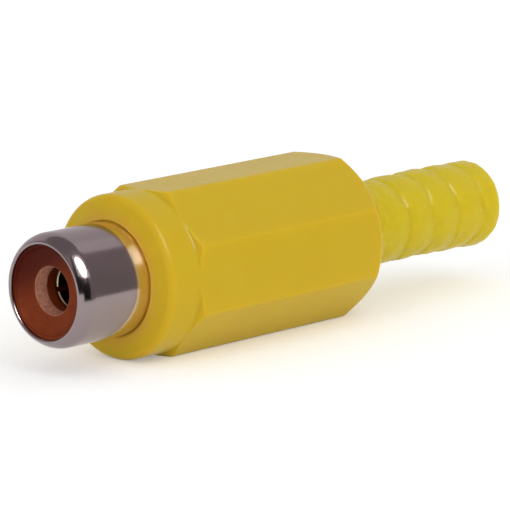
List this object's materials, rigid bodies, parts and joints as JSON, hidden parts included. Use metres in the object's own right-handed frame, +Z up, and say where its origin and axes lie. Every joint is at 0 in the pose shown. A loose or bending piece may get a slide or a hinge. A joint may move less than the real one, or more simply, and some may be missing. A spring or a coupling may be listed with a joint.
{
  "type": "inline rca connector",
  "caption": "Inline phono socket: plated metal barrel with a recessed insulator and sprung contact, octagonal yellow screw-on housing and a ringed soft cable boot.",
  "frame": {"origin": "centre of the bounding box at the surface the connector rests on, under the housing's lowest flat", "axes": "+X along the connector from the mating mouth to the cable end, +Z up, square to the flat it rests on"},
  "size_m": [0.0452, 0.012, 0.012],
  "materials": {
    "nickel_plate": "bright nickel plate on turned brass",
    "brown_phenolic": "moulded phenolic, satin",
    "spring_brass": "turned and sawn, bright",
    "phenolic_laminate": "punched laminate",
    "tinned_strip": "stamped and tinned",
    "yellow_shell": "moulded, semi-gloss",
    "yellow_boot": "soft moulded vinyl, semi-gloss"
  },
  "bodies": {
    "insert": {"outer_contact_barrel": "nickel_plate", "front_insulator": "brown_phenolic", "centre_contact": "spring_brass", "rear_insulator_washer": "phenolic_laminate", "earth_tag": "tinned_strip"},
    "boot": {"strain_relief_boot": "yellow_boot"},
    "housing": {"housing": "yellow_shell"}
  },
  "joints": [
    {"name": "boot_travel", "type": "slide", "parent": "insert", "child": "boot", "axis": [1, 0, 0], "range_m": [0, 0.0045]},
    {"name": "housing_unscrew", "type": "hinge", "parent": "boot", "child": "housing", "pos_m": [0, 0, 0.006], "axis": [1, 0, 0], "range_deg": [0, 2160]}
  ],
  "couplings": [
    {"joint": "housing_unscrew", "follows": "boot_travel", "rad_per_m": 8377.6}
  ]
}
